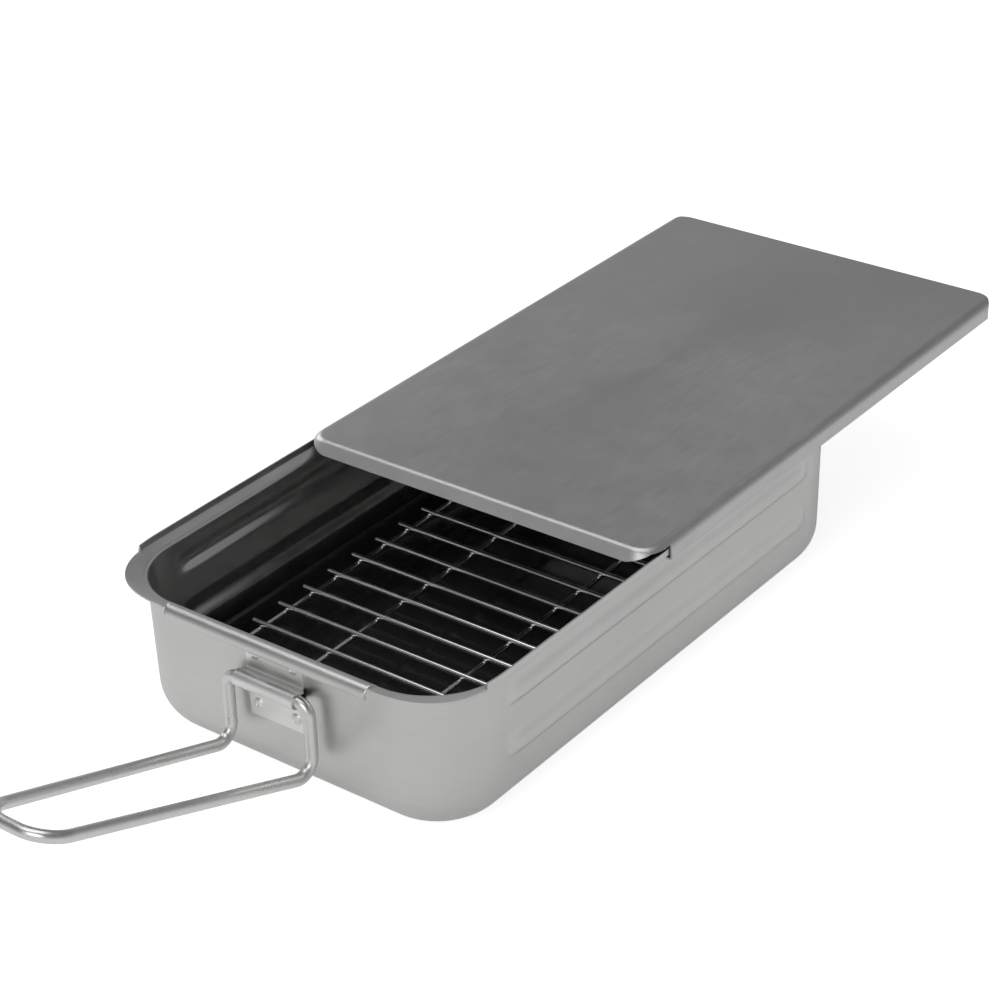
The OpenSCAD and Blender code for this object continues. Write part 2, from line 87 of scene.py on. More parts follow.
def pressed_shell(name, places, paths, t):
    """A closed shell of one sheet: a section at each place round the plan, and a flat bottom."""
    n, m, points, faces = len(places), len(paths[0]), [], []
    for place, path in zip(places, paths):
        low, up = both_faces(path, t)
        for u, z in low + up[::-1]:
            points.append((place[0] + place[2] * u, place[1] + place[3] * u, z))
    for k in range(n):
        here, after = k * 2 * m, (k + 1) % n * 2 * m
        for j in range(2 * m - 1):
            faces.append([here + j, after + j, after + j + 1, here + j + 1])
    faces.append([k * 2 * m for k in range(n)][::-1])
    faces.append([k * 2 * m + 2 * m - 1 for k in range(n)])
    return sheet_piece(name, points, faces)


def round_plan(half_l, half_w, r, step):
    """Places round a rectangle with round corners: x, y, outward x and outward y."""
    places = []
    for sx, sy in [(1, -1), (1, 1), (-1, 1), (-1, -1)]:
        angles = list(range(0, 91, step))
        for a in angles if sx * sy < 0 else angles[::-1]:
            s, c = math.sin(math.radians(a)), math.cos(math.radians(a))
            places.append((sx * (half_l - r + r * s), sy * (half_w - r + r * c), sx * s, sy * c))
    return places


def wall_u(z):
    """How far outwards the middle of the wall lies at a height, measured from the pan's plan."""
    return -sheet / 2 - (pan_h - z) * math.tan(wall_draft)


def bead_share(x):
    """The share of the beads' height at a place along the wall: 1, and less near their ends."""
    fading = (abs(x) - bead_l / 2 + bead_fade) / bead_fade
    return math.sqrt(max(0, 1 - max(0, fading) ** 2))


def bead_path(depth, share):
    """The wall past one bead, which slopes gently above its crest and sharply below."""
    path = []
    for k in range(bead_steps, -bead_steps - 1, -1):
        t = -k / bead_steps * (bead_above if k < 0 else bead_below)
        out = bead_h * (0.5 + 0.5 * math.cos(math.pi * k / bead_steps))
        path.append((wall_u(pan_h - depth + t) + share * out, pan_h - depth + t))
    return path


def flange_w(a):
    """The flange's width at an angle round the corner, widest halfway."""
    s, s2 = math.sin(math.radians(a)), math.sin(math.radians(2 * a))
    return flange_side + (flange_end - flange_side) * s * s + flange_ear * s2 * s2


def rim_path(form, a):
    """The rim from the top of the wall outwards, in 17 points: ear, turned up edge or hem."""
    z0, u0 = -sheet / 2, -sheet / 2 + bend_r
    if form == "hem":
        r = hem_r - sheet / 2
        return [(-sheet / 2, z0 - bend_r)] + arc(
            (flange_end + sheet / 2 - hem_r, hem_up - hem_r), r, hem_start, a, 15)
    w = flange_w(a)
    slope = math.atan2(flange_rise, w - u0)
    bend = arc((u0, z0 - bend_r), bend_r, 180, 90 + math.degrees(slope), 6)
    if form == "ear":
        end = (w, z0 + flange_rise)
        return bend + [tuple(b + (e - b) * k / 10 for b, e in zip(bend[-1], end)) for k in range(1, 11)]
    u1, r = w - sheet / 2, edge_bend_r
    foot_u = u1 - r + r * math.sin(slope)
    foot = (foot_u, z0 + (foot_u - u0) * math.tan(slope))
    middle = (foot[0] - r * math.sin(slope), foot[1] + r * math.cos(slope))
    turn = arc(middle, r, math.degrees(slope) - 90, 0, 5)
    top = z0 + flange_rise + edge_up + sheet / 2
    rise = [(u1, middle[1] + (top - middle[1]) * k / 3) for k in (1, 2, 3)]
    half_way = tuple((b + f) / 2 for b, f in zip(bend[-1], foot))
    return bend + [half_way] + turn + rise


def pan_path(share, form, a):
    """The middle of the sheet in [outwards, up], from the bottom up to the edge of the rim."""
    r, u = pan_bottom_r - sheet / 2, wall_u(pan_bottom_r)
    bottom = [(u - r - floor_margin, sheet / 2)] + arc((u - r, pan_bottom_r), r, -90, -6, 14)
    path = bottom + bead_path(bead_depths[0], share) + bead_path(bead_depths[1], share)
    return path + [(p[0], pan_h + p[1]) for p in rim_path(form, a)]


def side_places(sy):
    """Places along a long side, close together where a bead fades out."""
    fades = [bead_l / 2 - bead_fade * math.sin(math.pi / 2 * k / 10) for k in range(11)]
    xs = [-side_end] + [-x for x in fades] + fades[::-1] + [side_end]
    return [(sy * -x, sy * pan_half_w, 0, sy, bead_share(x), "edge", 0) for x in xs]


def hem_places(sx):
    """Places along a short side. The hem unrolls into the ear over a short length at each end."""
    places = []
    for end in (-1, 1):
        for k in range(4) if end < 0 else range(3, -1, -1):
            y = sx * end * (hem_l / 2 + hem_step / 2 - k * hem_step / 3)
            places.append((sx * pan_half_l, y, sx, 0, 0, "ear" if k == 0 else "hem", hem_turns[k]))
    return places


def corner_places(sx, sy):
    """Places round a corner, where the turned up edge of the long side gives way to the ear."""
    angles = sorted(set(range(0, 91, corner_step)) | {edge_end, edge_end + edge_step})
    places = []
    for a in angles if sx * sy < 0 else angles[::-1]:
        s, c = math.sin(math.radians(a)), math.cos(math.radians(a))
        places.append((sx * (pan_half_l - pan_corner_r + pan_corner_r * s),
                       sy * (pan_half_w - pan_corner_r + pan_corner_r * c),
                       sx * s, sy * c, 0, "edge" if a <= edge_end else "ear", a))
    return places


pan_places = (side_places(-1) + corner_places(1, -1) + hem_places(1) + corner_places(1, 1)
              + side_places(1) + corner_places(-1, 1) + hem_places(-1) + corner_places(-1, -1))
pan = pressed_shell("pan_shell", pan_places, [pan_path(*place[4:]) for place in pan_places], sheet)


def satin_steel(name, colour, roughness, grain, grain_depth, smudge):
    """Stainless steel with a fine grain along one axis, faint clouds and a few smudges.
    grain holds the pattern's cycles a metre along X, Y and Z."""
    material = bpy.data.materials.new(name)
    material.use_nodes = True
    nodes, links = material.node_tree.nodes, material.node_tree.links
    shader = nodes["Principled BSDF"]
    shader.inputs["Metallic"].default_value = 1
    shader.inputs["Anisotropic"].default_value = 0.3
    place = nodes.new("ShaderNodeTexCoord")

    def noise(scale, detail, rough):
        stretch = nodes.new("ShaderNodeMapping")
        stretch.inputs["Scale"].default_value = scale
        links.new(place.outputs["Object"], stretch.inputs["Vector"])
        pattern = nodes.new("ShaderNodeTexNoise")
        pattern.inputs["Scale"].default_value = 1
        pattern.inputs["Detail"].default_value = detail
        pattern.inputs["Roughness"].default_value = rough
        links.new(stretch.outputs["Vector"], pattern.inputs["Vector"])
        return pattern.outputs["Fac"]

    def ranged(value, low, high):
        step = nodes.new("ShaderNodeMapRange")
        step.inputs["From Min"].default_value = 0.3
        step.inputs["From Max"].default_value = 0.7
        step.inputs["To Min"].default_value = low
        step.inputs["To Max"].default_value = high
        links.new(value, step.inputs["Value"])
        return step.outputs["Result"]

    def product(a, b):
        step = nodes.new("ShaderNodeMath")
        step.operation = "MULTIPLY"
        links.new(a, step.inputs[0])
        links.new(b, step.inputs[1])
        return step.outputs["Value"]

    lines = noise(grain, 5, 0.6)
    clouds = noise((14, 14, 14), 3, 0.5)
    marks = noise((60, 60, 60), 6, 0.7)
    tone = product(ranged(clouds, 0.96, 1.03), ranged(lines, 0.97, 1.03))
    tint = nodes.new("ShaderNodeVectorMath")
    tint.operation = "SCALE"
    tint.inputs[0].default_value = colour
    links.new(tone, tint.inputs["Scale"])
    links.new(tint.outputs["Vector"], shader.inputs["Base Color"])
    polish = product(ranged(lines, roughness * 0.88, roughness * 1.12),
                     ranged(marks, 1 - smudge, 1 + smudge))
    links.new(polish, shader.inputs["Roughness"])
    relief = nodes.new("ShaderNodeBump")
    relief.inputs["Strength"].default_value = grain_depth
    relief.inputs["Distance"].default_value = 0.00005
    links.new(lines, relief.inputs["Height"])
    links.new(relief.outputs["Normal"], shader.inputs["Normal"])
    return material


pan_steel = satin_steel("satin_pan_steel", (0.60, 0.60, 0.59), 0.36, (60, 60, 1400), 0.25, 0.12)
pan.data.materials.append(pan_steel)
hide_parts("pan")
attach(pan, "pan")

# ---- Handle brackets ----
# Each bracket is a strap of 1 mm steel, bent outwards round the handle's cross wire in a knuckle and
# brought back to the wall. Four rivets hold it to the end of the pan.
strap_half_w, strap_top, strap_l, strap_t = 14, 4.6, 32, 1.0
knuckle_half_w, knuckle_r, neck = 15, 3.06, 1.9
hinge_x, hinge_z = 146.186, 49.0
neck_bend_r = 1.2


def on_end_wall(side, out, y, up):
    """A place on an end wall in millimetres: outwards from the wall, across it, and up from the rim."""
    turned = Matrix.Rotation(wall_draft, 3, "Y") @ Vector((out, y, up))
    return (side * (pan_half_l + turned.x), side * turned.y, pan_h + turned.z)


def strap_path():
    """The middle of the strap in [out, up], from its top edge round the knuckle to its lower edge."""
    dx = hinge_x - pan_half_l
    drop = pan_h - hinge_z
    out = dx * math.cos(wall_draft) + drop * math.sin(wall_draft)
    up = -(drop * math.cos(wall_draft) - dx * math.sin(wall_draft))
    wall, r = strap_t / 2, neck_bend_r
    reach = math.degrees(math.asin(neck / knuckle_r))
    upper = [(wall, -strap_top), (wall, -strap_top - 1), (wall, up + neck + r + 1)]
    upper += arc((wall + r, up + neck + r), r, 180, 270, 6)
    knuckle = arc((out, up), knuckle_r, 180 - reach, -180 + reach, 40)
    lower = arc((wall + r, up - neck - r), r, 90, 180, 6)
    lower += [(wall, up - neck - r - 1), (wall, 1 - strap_top - strap_l), (wall, -strap_top - strap_l)]
    return upper + knuckle + lower, len(upper) - 1, len(upper) + len(knuckle)


def bent_strap(name, side):
    """The strap as a band between two edges, wider at the knuckle, with slightly worn corners."""
    path, first, last = strap_path()
    low, up = both_faces(path, strap_t)
    points, faces, n = [], [], len(path)
    for edge in (-1, 1):
        for k, p in list(enumerate(low)) + list(enumerate(up))[::-1]:
            half = knuckle_half_w if first <= k <= last else strap_half_w
            points.append(on_end_wall(side, p[0], edge * half, p[1]))
    for j in range(2 * n):
        after = (j + 1) % (2 * n)
        faces.append([j, 2 * n + j, 2 * n + after, after])
    for j in range(n - 1):
        faces.append([j, j + 1, 2 * n - 2 - j, 2 * n - 1 - j])
        faces.append([2 * n + j, 4 * n - 1 - j, 4 * n - 2 - j, 2 * n + j + 1])
    strap = sheet_piece(name, points, faces)
    soften = strap.modifiers.new("worn edges", "BEVEL")
    soften.width = 0.12 * mm
    soften.segments = 2
    soften.limit_method = "ANGLE"
    soften.angle_limit = math.radians(50)
    return strap


bracket_steel = satin_steel("bracket_strap_steel", (0.78, 0.78, 0.77), 0.38, (900, 40, 900), 0.3, 0.15)
for end, side in (("front", -1), ("rear", 1)):
    strap = bent_strap(end + "_strap", side)
    strap.data.materials.append(bracket_steel)
    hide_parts(end + "_bracket")
    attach(strap, "pan")

# ---- Rivets ----
# Steel rivets with a low round head outside and a flat one inside. The punch leaves a shallow dimple
# in the middle of each outer head.
rivet_r, rivet_head_h, rivet_dimple_r, rivet_inside_h = 2.5, 1.1, 0.9, 0.6
rivet_dimple_depth, rivet_edge_r, rivet_edge_h = 0.35, 0.3, 0.05
rivet_rows, rivet_half_gap = (8, 30.8), 9.5


def turned_piece(name, profile, sides):
    """A closed turned shape from a profile of [radius, height] that starts and ends on the axis."""
    points, faces, n = [(0, 0, profile[0][1])], [], len(profile) - 2
    for r, z in profile[1:-1]:
        for k in range(sides):
            a = math.tau * k / sides
            points.append((r * math.cos(a), r * math.sin(a), z))
    points.append((0, 0, profile[-1][1]))
    for k in range(sides):
        after = (k + 1) % sides
        faces.append([0, 1 + after, 1 + k])
        for j in range(n - 1):
            row = 1 + j * sides
            faces.append([row + k, row + after, row + sides + after, row + sides + k])
        faces.append([1 + (n - 1) * sides + k, 1 + (n - 1) * sides + after, len(points) - 1])
    return sheet_piece(name, points, faces, 40)


def rivet_profile():
    """Half a rivet's outline from the flat inner head to the dimple, with the wall's outside at 0."""
    dome = (rivet_r ** 2 + rivet_head_h ** 2) / (2 * rivet_head_h)
    inside = -sheet - rivet_inside_h
    profile = [(0, inside), (rivet_r - rivet_edge_r, inside), (rivet_r, inside + rivet_edge_r),
               (rivet_r, strap_t + rivet_edge_h)]
    for k in range(1, 8):
        r = rivet_r + (rivet_dimple_r - rivet_r) * k / 7
        profile.append((r, strap_t + rivet_head_h - dome + math.sqrt(dome ** 2 - r ** 2)))
    floor = profile[-1][1] - rivet_dimple_depth
    return profile + [(rivet_dimple_r - 0.25, floor + 0.12), (rivet_dimple_r - 0.5, floor), (0, floor)]


def repeat_tree(name):
    """Geometry nodes that set a shape at each point of a mesh, turned as asked."""
    tree = bpy.data.node_groups.new(name, "GeometryNodeTree")
    for label, kind in (("Places", "NodeSocketGeometry"), ("Shape", "NodeSocketObject"),
                        ("Turn", "NodeSocketRotation"), ("Finish", "NodeSocketMaterial")):
        tree.interface.new_socket(label, in_out="INPUT", socket_type=kind)
    tree.interface.new_socket("Result", in_out="OUTPUT", socket_type="NodeSocketGeometry")
    nodes, links = tree.nodes, tree.links
    given, result = nodes.new("NodeGroupInput"), nodes.new("NodeGroupOutput")
    shape = nodes.new("GeometryNodeObjectInfo")
    spread = nodes.new("GeometryNodeInstanceOnPoints")
    real = nodes.new("GeometryNodeRealizeInstances")
    finish = nodes.new("GeometryNodeSetMaterial")
    links.new(given.outputs["Shape"], shape.inputs["Object"])
    links.new(given.outputs["Places"], spread.inputs["Points"])
    links.new(shape.outputs["Geometry"], spread.inputs["Instance"])
    links.new(given.outputs["Turn"], spread.inputs["Rotation"])
    links.new(spread.outputs["Instances"], real.inputs["Geometry"])
    links.new(real.outputs["Geometry"], finish.inputs["Geometry"])
    links.new(given.outputs["Finish"], finish.inputs["Material"])
    links.new(finish.outputs["Geometry"], result.inputs["Result"])
    return tree


def repeated(name, tree, places, shape, turn, finish):
    """The shape at every place, in millimetres, as one plain mesh."""
    points = sheet_piece(name + "_places", places, [])
    spread = points.modifiers.new("spread", "NODES")
    spread.node_group = tree
    given = {item.name: item.identifier for item in tree.interface.items_tree if item.in_out == "INPUT"}
    spread[given["Shape"]] = shape
    spread[given["Turn"]] = turn
    spread[given["Finish"]] = finish
    bpy.context.view_layer.update()
    ready = points.evaluated_get(bpy.context.evaluated_depsgraph_get())
    mesh = bpy.data.meshes.new_from_object(ready)
    points.modifiers.remove(spread)
    bpy.data.objects.remove(points)
    piece = bpy.data.objects.new(name, mesh)
    bpy.context.scene.collection.objects.link(piece)
    return piece


place_tree = repeat_tree("set_at_places")
rivet_steel = satin_steel("rivet_head_steel", (0.72, 0.72, 0.71), 0.34, (700, 700, 700), 0.3, 0.2)
rivet_shape = turned_piece("rivet_shape", rivet_profile(), 32)
for end, side in (("front", -1), ("rear", 1)):
    places = [on_end_wall(side, 0, y, -row)
              for row in rivet_rows for y in (-rivet_half_gap, rivet_half_gap)]
    outwards = (0, side * (math.pi / 2 + wall_draft), 0)
    rivets = repeated(end + "_rivet_heads", place_tree, places, rivet_shape, outwards, rivet_steel)
    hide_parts(end + "_rivets")
    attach(rivets, "pan")
bpy.data.objects.remove(rivet_shape)

# ---- Handles ----
# Each handle is one 5 mm steel wire, bent cold into a long loop that narrows towards its tip. Two
# short legs and a cross wire join it to the bracket, where it folds up and down.
handle_d, leg_half_gap, leg_l = 5.0, 20.5, 32
loop_l, loop_tip_half_w, loop_rise = 138, 16, math.radians(20)
leg_bend_r, root_bend_r, tip_r = 5.5, 7, 13


def rounded_path(corners, radii, steps):
    """A closed path through the corners, each rounded to its own radius."""
    path = []
    for k, corner in enumerate(corners):
        back = (corners[k - 1] - corner).normalized()
        ahead = (corners[(k + 1) % len(corners)] - corner).normalized()
        half = back.angle(ahead) / 2
        middle = corner + (back + ahead).normalized() * radii[k] / math.sin(half)
        start = corner + back * radii[k] / math.tan(half) - middle
        end = corner + ahead * radii[k] / math.tan(half) - middle
        turn = start.angle(end)
        for j in range(steps + 1):
            part = math.sin(turn * (1 - j / steps)) * start + math.sin(turn * j / steps) * end
            path.append(middle + part / math.sin(turn))
    return path


def bent_wire(name, path, diameter, closed):
    """A round wire along a path in millimetres, as a plain mesh."""
    curve = bpy.data.curves.new(name, "CURVE")
    curve.dimensions = "3D"
    curve.bevel_depth = diameter / 2 * mm
    curve.bevel_resolution = 7
    curve.use_fill_caps = not closed
    spline = curve.splines.new("POLY")
    spline.points.add(len(path) - 1)
    for point, p in zip(spline.points, path):
        point.co = (p[0] * mm, p[1] * mm, p[2] * mm, 1)
    spline.use_cyclic_u = closed
    wire = bpy.data.objects.new(name, curve)
    bpy.context.scene.collection.objects.link(wire)
    ready = wire.evaluated_get(bpy.context.evaluated_depsgraph_get())
    mesh = bpy.data.meshes.new_from_object(ready)
    bpy.data.objects.remove(wire)
    mesh.shade_smooth()
    mesh.set_sharp_from_angle(angle=math.radians(50))
    piece = bpy.data.objects.new(name, mesh)
    bpy.context.scene.collection.objects.link(piece)
    return piece


def handle_path(side):
    """The middle of the wire: down one leg, out round the loop, up the other leg and across."""
    out = Vector((-math.cos(loop_rise), 0, math.sin(loop_rise))) * loop_l
    corners = [Vector((0, leg_half_gap, 0)), Vector((0, leg_half_gap, -leg_l)),
               Vector((out.x, loop_tip_half_w, out.z - leg_l)),
               Vector((out.x, -loop_tip_half_w, out.z - leg_l)),
               Vector((0, -leg_half_gap, -leg_l)), Vector((0, -leg_half_gap, 0))]
    radii = [leg_bend_r, root_bend_r, tip_r, tip_r, root_bend_r, leg_bend_r]
    path = rounded_path(corners, radii, 16)
    return [Vector((side * (hinge_x - p.x), side * -p.y, hinge_z + p.z)) for p in path]


handle_steel = satin_steel("handle_wire_steel", (0.66, 0.66, 0.65), 0.30, (250, 250, 250), 0.2, 0.2)
for end, side in (("front", -1), ("rear", 1)):
    handle = bent_wire(end + "_handle_loop", handle_path(side), handle_d, True)
    handle.data.materials.append(handle_steel)
    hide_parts(end + "_handle")
    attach(handle, end + "_handle")

# ---- Drip tray ----
# A shallow pressed tray that catches the fat. It stands on four low feet above the wood chips, and it
# has a glossy black coating, slightly uneven like a sprayed one, and a narrow flat rim.
tray_half_l, tray_half_w, tray_h, tray_z, tray_t = 131, 75.5, 19.5, 3.35, 0.6
tray_corner_r, tray_bottom_r, tray_slope, tray_rim = 27, 15, 5, 2.2


def tray_path():
    """The middle of the tray's sheet, from the bottom up to the turned down edge of the rim."""
    r = tray_bottom_r - tray_t / 2
    lean = (tray_h - tray_bottom_r) * math.tan(math.radians(tray_slope))
    top = tray_z + tray_h
    u = -lean - r - tray_rim
    bottom = [(u - floor_margin, tray_z + tray_t / 2)]
    bottom += arc((u, tray_z + tray_bottom_r), r, -90, -tray_slope - 1, 14)
    rim = [(-tray_rim, 0.8), (-tray_rim + 0.12, 0.25), (-tray_rim + 0.45, 0),
           (-0.6, 0), (-0.15, 0.3), (0, 1)]
    return bottom + [(out, top - tray_t / 2 - drop) for out, drop in rim]


tray_places = round_plan(tray_half_l, tray_half_w, tray_corner_r, 3)
tray = pressed_shell("drip_tray_shell", tray_places, [tray_path()] * len(tray_places), tray_t)


def black_coating(name):
    """A sprayed black coating: glossy, with a faint orange peel and a few duller patches."""
    material = bpy.data.materials.new(name)
    material.use_nodes = True
    nodes, links = material.node_tree.nodes, material.node_tree.links
    shader = nodes["Principled BSDF"]
    shader.inputs["Specular IOR Level"].default_value = 0.5
    shader.inputs["Coat Weight"].default_value = 0.35
    shader.inputs["Coat Roughness"].default_value = 0.08
    place = nodes.new("ShaderNodeTexCoord")
    peel, patches, flecks = (nodes.new("ShaderNodeTexNoise") for _ in range(3))
    for pattern, scale, detail in ((peel, 900, 2), (patches, 25, 4), (flecks, 3500, 1)):
        pattern.inputs["Scale"].default_value = scale
        pattern.inputs["Detail"].default_value = detail
        links.new(place.outputs["Object"], pattern.inputs["Vector"])
    gloss = nodes.new("ShaderNodeMapRange")
    gloss.inputs["To Min"].default_value = 0.12
    gloss.inputs["To Max"].default_value = 0.3
    links.new(patches.outputs["Fac"], gloss.inputs["Value"])
    links.new(gloss.outputs["Result"], shader.inputs["Roughness"])
    tone = nodes.new("ShaderNodeValToRGB")
    tone.color_ramp.elements[0].position = 0.45
    tone.color_ramp.elements[0].color = (0.012, 0.012, 0.013, 1)
    tone.color_ramp.elements[1].position = 0.75
    tone.color_ramp.elements[1].color = (0.035, 0.035, 0.037, 1)
    links.new(flecks.outputs["Fac"], tone.inputs["Fac"])
    links.new(tone.outputs["Color"], shader.inputs["Base Color"])
    relief = nodes.new("ShaderNodeBump")
    relief.inputs["Strength"].default_value = 0.15
    relief.inputs["Distance"].default_value = 0.0001
    links.new(peel.outputs["Fac"], relief.inputs["Height"])
    links.new(relief.outputs["Normal"], shader.inputs["Normal"])
    return material


tray_black = black_coating("black_tray_coating")
tray.data.materials.append(tray_black)
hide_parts("drip_tray")
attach(tray, "drip_tray")

# The feet are low cones with round edges. Their tops end inside the tray's sheet.
tray_foot_half_gap_x, tray_foot_half_gap_y, tray_foot_z = 90, 36, 0.75
tray_foot_profile = [(0, 0), (2.6, 0), (3, 0.4), (4.2, 2.3), (4.5, 2.75), (0, 2.75)]
tray_foot = turned_piece("tray_foot", tray_foot_profile, 40)
tray_foot_places = [(x, y, tray_foot_z) for x in (-tray_foot_half_gap_x, tray_foot_half_gap_x)
                    for y in (-tray_foot_half_gap_y, tray_foot_half_gap_y)]
tray_feet = repeated("drip_tray_feet", place_tree, tray_foot_places, tray_foot, (0, 0, 0), tray_black)
bpy.data.objects.remove(tray_foot)
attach(tray_feet, "drip_tray")

# ---- Rack ----
# The rack is a grill of bright plated wire: fifteen cross wires lie on four runners and are resistance
# welded to them, and two bent legs hold the runners above the tray.
cross_count, cross_pitch, cross_d, cross_half_l, cross_z = 15, 16, 2.3, 68, 21
runner_ys, runner_d, runner_half_l, runner_z = (-64, -28, 28, 64), 2.2, 116, 18.85
foot_xs, foot_d, foot_half_w, foot_bend, foot_z, foot_low = (-96, 96), 2.6, 52, 6, 16.55, 4.0


def rod_profile(half_l, r):
    """Half the outline of a round rod whose cut ends are tumbled round."""
    end = [(math.cos(math.radians(a)) * r, math.sin(math.radians(a)) * r) for a in (80, 60, 40, 20, 0)]
    return ([(0, -half_l - r)] + [(x, -half_l - z) for x, z in end]
            + [(x, half_l + z) for x, z in end[::-1]] + [(0, half_l + r)])


def foot_path(x):
    """The middle of a leg's wire: up from the tray, across under the runners and down again."""
    steps, hardly_round = 8, 0.01
    ring = rounded_path([Vector((0, foot_half_w, foot_z)), Vector((0, foot_half_w, foot_low)),
                         Vector((0, -foot_half_w, foot_low)), Vector((0, -foot_half_w, foot_z))],
                        [foot_bend, hardly_round, hardly_round, foot_bend], steps)
    ends = [Vector((x, -foot_half_w, foot_low)), Vector((x, foot_half_w, foot_low))]
    bends = ring[-steps - 1:] + ring[:steps + 1]
    return [ends[0]] + [Vector((x, p.y, p.z)) for p in bends] + [ends[1]]


rack_steel = satin_steel("bright_rack_wire", (0.76, 0.76, 0.75), 0.16, (500, 500, 500), 0.1, 0.3)
flat_along_y = (math.pi / 2, 0, 0)
flat_along_x = (0, math.pi / 2, 0)
cross_rod = turned_piece("cross_rod", rod_profile(cross_half_l, cross_d / 2), 28)
cross_places = [((k - (cross_count - 1) / 2) * cross_pitch, 0, cross_z) for k in range(cross_count)]
cross_wires = repeated("rack_cross_wires", place_tree, cross_places, cross_rod, flat_along_y,
                       rack_steel)
runner_rod = turned_piece("runner_rod", rod_profile(runner_half_l - runner_d / 2, runner_d / 2), 28)
runner_places = [(0, y, runner_z) for y in runner_ys]
runners = repeated("rack_runners", place_tree, runner_places, runner_rod, flat_along_x, rack_steel)

# The welds squeeze a little metal out between two crossing wires.
weld_r, weld_half_h = 1.25, 0.75
weld_profile = [(weld_r * math.sin(math.radians(a)), -weld_half_h * math.cos(math.radians(a)))
                for a in range(0, 181, 20)]
nugget = turned_piece("weld_nugget", weld_profile, 16)
weld_z = cross_z - cross_d / 2
weld_places = [(x, y, weld_z) for x, _, _ in cross_places for y in runner_ys]
welds = repeated("rack_welds", place_tree, weld_places, nugget, (0, 0, 0), rack_steel)
for shape in (cross_rod, runner_rod, nugget):
    bpy.data.objects.remove(shape)

cross_nodes = [f"rack_wire_{k:02d}" for k in range(1, cross_count + 1)]
runner_nodes = [f"rack_runner_{k}" for k in range(1, 5)]
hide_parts(*cross_nodes)
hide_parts(*runner_nodes)
rack_pieces = [cross_wires, runners, welds]
for end, x in zip(("front", "rear"), foot_xs):
    leg = bent_wire(f"rack_{end}_foot_wire", foot_path(x), foot_d, False)
    leg.data.materials.append(rack_steel)
    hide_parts(f"rack_{end}_leg")
    rack_pieces.append(leg)
for piece in rack_pieces:
    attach(piece, "rack")

# ---- Lid ----
# The lid is one flat sheet of satin stainless steel that slides along the pan's rim. Its long edges
# are rolled down into rails that hook under the rim, its front is bent to a lip, and its far corners
# are cut round. The place of the pressed lettering is left smooth.
lid_l, lid_half_w, lid_top, lid_start = 281, 89, 74.5, -16.4
roll_r, rail_h, rail_lip, rail_bend_r, lid_corner_r = 4.5, 8.6, 3, 0.6, 10
fold_r, lip_bend_r, lip_angle, corner_lip_angle, lip_fade = 7, 3, 57, 50, 55
lip_l, edge_rest, seam, rail_start = 4.2, 0.3, 0.5, 11
lip_steps, rail_turn_start, rail_turn_step, far_steps = 14, 58, 4, 8


def rolled(r, angle):
    """A place on a bend of the lid's edge, outwards and down from where the bend begins."""
    a = math.radians(angle)
    return (r * math.sin(a), r * (math.cos(a) - 1) - sheet / 2)


def lip_path(a):
    """The bent front edge at an angle round the corner: 0 in front, 90 at the long side."""
    share = min(1, a / lip_fade)
    r = lip_bend_r + (roll_r - lip_bend_r) * share - sheet / 2
    bend = lip_angle + (corner_lip_angle - lip_angle) * share
    straight = edge_rest + lip_l * (1 - share)
    end, t = rolled(r, bend), math.radians(bend)
    return ([(-seam, -sheet / 2)] + [rolled(r, bend * k / lip_steps) for k in range(lip_steps + 1)]
            + [(end[0] + math.cos(t) * straight, end[1] - math.sin(t) * straight)])


def rail_path():
    """The rolled long edge, down and in under the pan's rim."""
    r, foot = roll_r - sheet / 2, sheet / 2 - rail_h
    roll = [rolled(r, a) for a in range(rail_turn_start, 91, rail_turn_step)]
    hook = arc((r - rail_bend_r, foot + rail_bend_r), rail_bend_r, 0, -90, 6)
    return lip_path(90) + roll + hook + [(roll_r - rail_lip, foot)]


def far_cut(y):
    """Where the far edge ends at a distance across the lid, with its corners cut round."""
    over = max(0, abs(y) - lid_half_w + lid_corner_r)
    return lid_l - lid_corner_r + math.sqrt(lid_corner_r ** 2 - over ** 2)


def lid_places():
    """Places round the lid's edge: x, y, outward x, outward y, corner angle and form."""
    corner_y = lid_half_w - roll_r - fold_r

    def rail(side, form):
        return (rail_start, side * (lid_half_w - roll_r), 0, side, 90, form)

    def lip(side, a):
        s, c = math.sin(math.radians(a)), math.cos(math.radians(a))
        return (fold_r - fold_r * c, side * (corner_y + fold_r * s), -c, side * s, a, "lip")

    turns = list(range(0, 91, 5))
    middle = [(0, y, -1, 0, 0, "lip") for y in (corner_y - 1, 1 - corner_y)]
    return ([rail(1, "far end"), rail(1, "rail")] + [lip(1, a) for a in turns[::-1]] + middle
            + [lip(-1, a) for a in turns] + [rail(-1, "rail"), rail(-1, "far end")])


